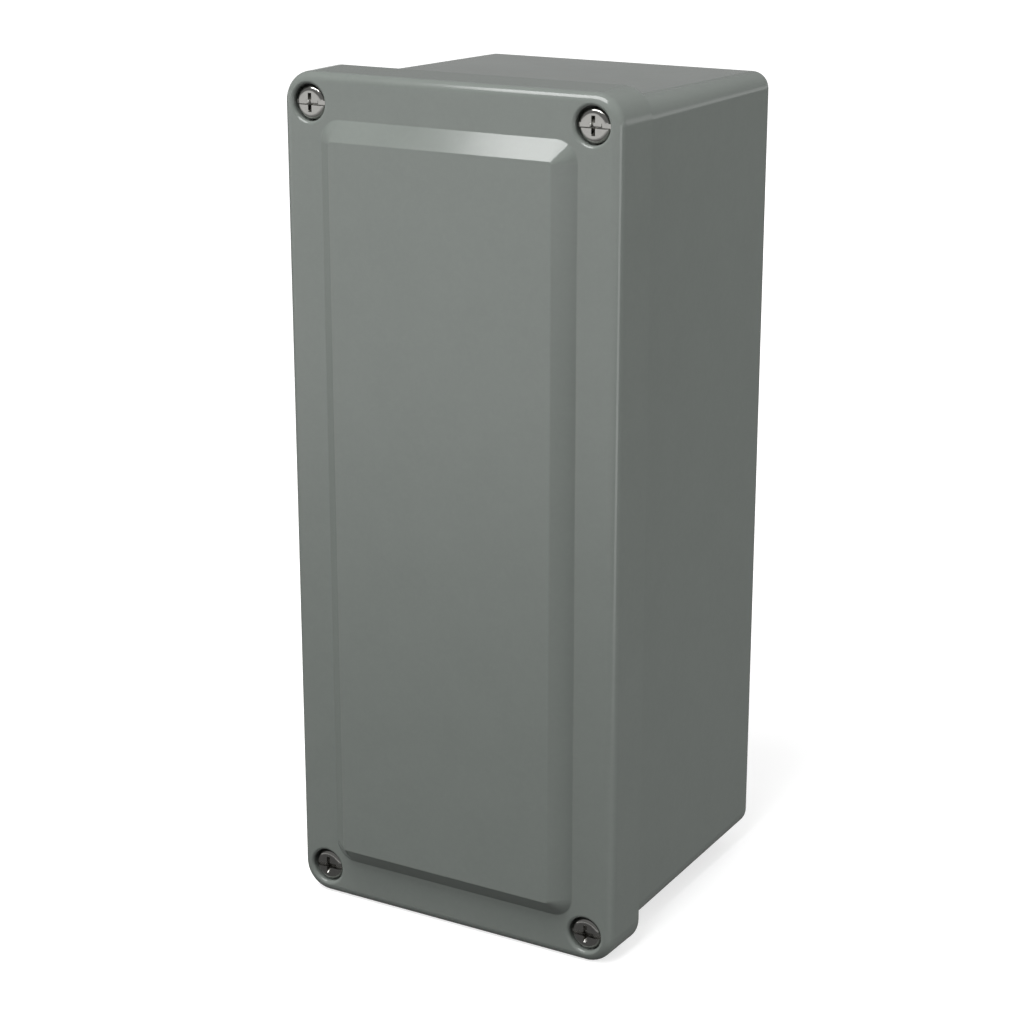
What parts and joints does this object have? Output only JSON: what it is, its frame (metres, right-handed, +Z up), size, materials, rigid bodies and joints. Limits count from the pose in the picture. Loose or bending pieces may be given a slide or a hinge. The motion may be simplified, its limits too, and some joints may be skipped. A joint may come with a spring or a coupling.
{
  "type": "pushbutton enclosure",
  "caption": "Tall, deep moulded box with a lift-off screwed cover: raised bevelled front panel, lapping skirt, counterbored corner screws, inserts in the back.",
  "frame": {"origin": "under the middle of the box, level with the cover's lower edge", "axes": "+Z up the long side, +X across the front, the raised panel faces -Y and the back faces +Y"},
  "size_m": [0.1016, 0.1028, 0.2365],
  "materials": {
    "moulded_body": "moulded glass-filled polyester, satin, fine grain",
    "gasket": "closed-cell foam rubber",
    "sealing_washer": "smooth",
    "nylon_ring": "natural nylon",
    "stainless_screw": "bright stainless",
    "brass_insert": "machined, knurled"
  },
  "bodies": {
    "base": {"base": "moulded_body", "cover_insert_top_left": "brass_insert", "cover_insert_top_right": "brass_insert", "cover_insert_bottom_left": "brass_insert", "cover_insert_bottom_right": "brass_insert", "mounting_insert_top_left": "brass_insert", "mounting_insert_top_right": "brass_insert", "mounting_insert_bottom_left": "brass_insert", "mounting_insert_bottom_right": "brass_insert"},
    "cover": {"cover": "moulded_body", "gasket": "gasket", "screw_retainer_top_left": "nylon_ring", "screw_retainer_top_right": "nylon_ring", "screw_retainer_bottom_left": "nylon_ring", "screw_retainer_bottom_right": "nylon_ring"},
    "washer_top_left": {"screw_washer_top_left": "sealing_washer"},
    "screw_top_left": {"cover_screw_top_left": "stainless_screw"},
    "washer_top_right": {"screw_washer_top_right": "sealing_washer"},
    "screw_top_right": {"cover_screw_top_right": "stainless_screw"},
    "washer_bottom_left": {"screw_washer_bottom_left": "sealing_washer"},
    "screw_bottom_left": {"cover_screw_bottom_left": "stainless_screw"},
    "washer_bottom_right": {"screw_washer_bottom_right": "sealing_washer"},
    "screw_bottom_right": {"cover_screw_bottom_right": "stainless_screw"}
  },
  "joints": [
    {"name": "cover_lift_off", "type": "slide", "parent": "base", "child": "cover", "axis": [0, -1, 0], "range_m": [0, 0.12]},
    {"name": "screw_rise_top_left", "type": "slide", "parent": "cover", "child": "washer_top_left", "axis": [0, -1, 0], "range_m": [0, 0.0111]},
    {"name": "screw_turn_top_left", "type": "hinge", "parent": "washer_top_left", "child": "screw_top_left", "pos_m": [-0.04245, -0.0426, 0.22815], "axis": [0, -1, 0], "range_deg": [0, 5040]},
    {"name": "screw_rise_top_right", "type": "slide", "parent": "cover", "child": "washer_top_right", "axis": [0, -1, 0], "range_m": [0, 0.0111]},
    {"name": "screw_turn_top_right", "type": "hinge", "parent": "washer_top_right", "child": "screw_top_right", "pos_m": [0.04245, -0.0426, 0.22815], "axis": [0, -1, 0], "range_deg": [0, 5040]},
    {"name": "screw_rise_bottom_left", "type": "slide", "parent": "cover", "child": "washer_bottom_left", "axis": [0, -1, 0], "range_m": [0, 0.0111]},
    {"name": "screw_turn_bottom_left", "type": "hinge", "parent": "washer_bottom_left", "child": "screw_bottom_left", "pos_m": [-0.04245, -0.0426, 0.00835], "axis": [0, -1, 0], "range_deg": [0, 5040]},
    {"name": "screw_rise_bottom_right", "type": "slide", "parent": "cover", "child": "washer_bottom_right", "axis": [0, -1, 0], "range_m": [0, 0.0111]},
    {"name": "screw_turn_bottom_right", "type": "hinge", "parent": "washer_bottom_right", "child": "screw_bottom_right", "pos_m": [0.04245, -0.0426, 0.00835], "axis": [0, -1, 0], "range_deg": [0, 5040]}
  ],
  "couplings": [
    {"joint": "screw_turn_top_left", "follows": "screw_rise_top_left", "rad_per_m": 7915.8},
    {"joint": "screw_turn_top_right", "follows": "screw_rise_top_right", "rad_per_m": 7915.8},
    {"joint": "screw_turn_bottom_left", "follows": "screw_rise_bottom_left", "rad_per_m": 7915.8},
    {"joint": "screw_turn_bottom_right", "follows": "screw_rise_bottom_right", "rad_per_m": 7915.8}
  ]
}
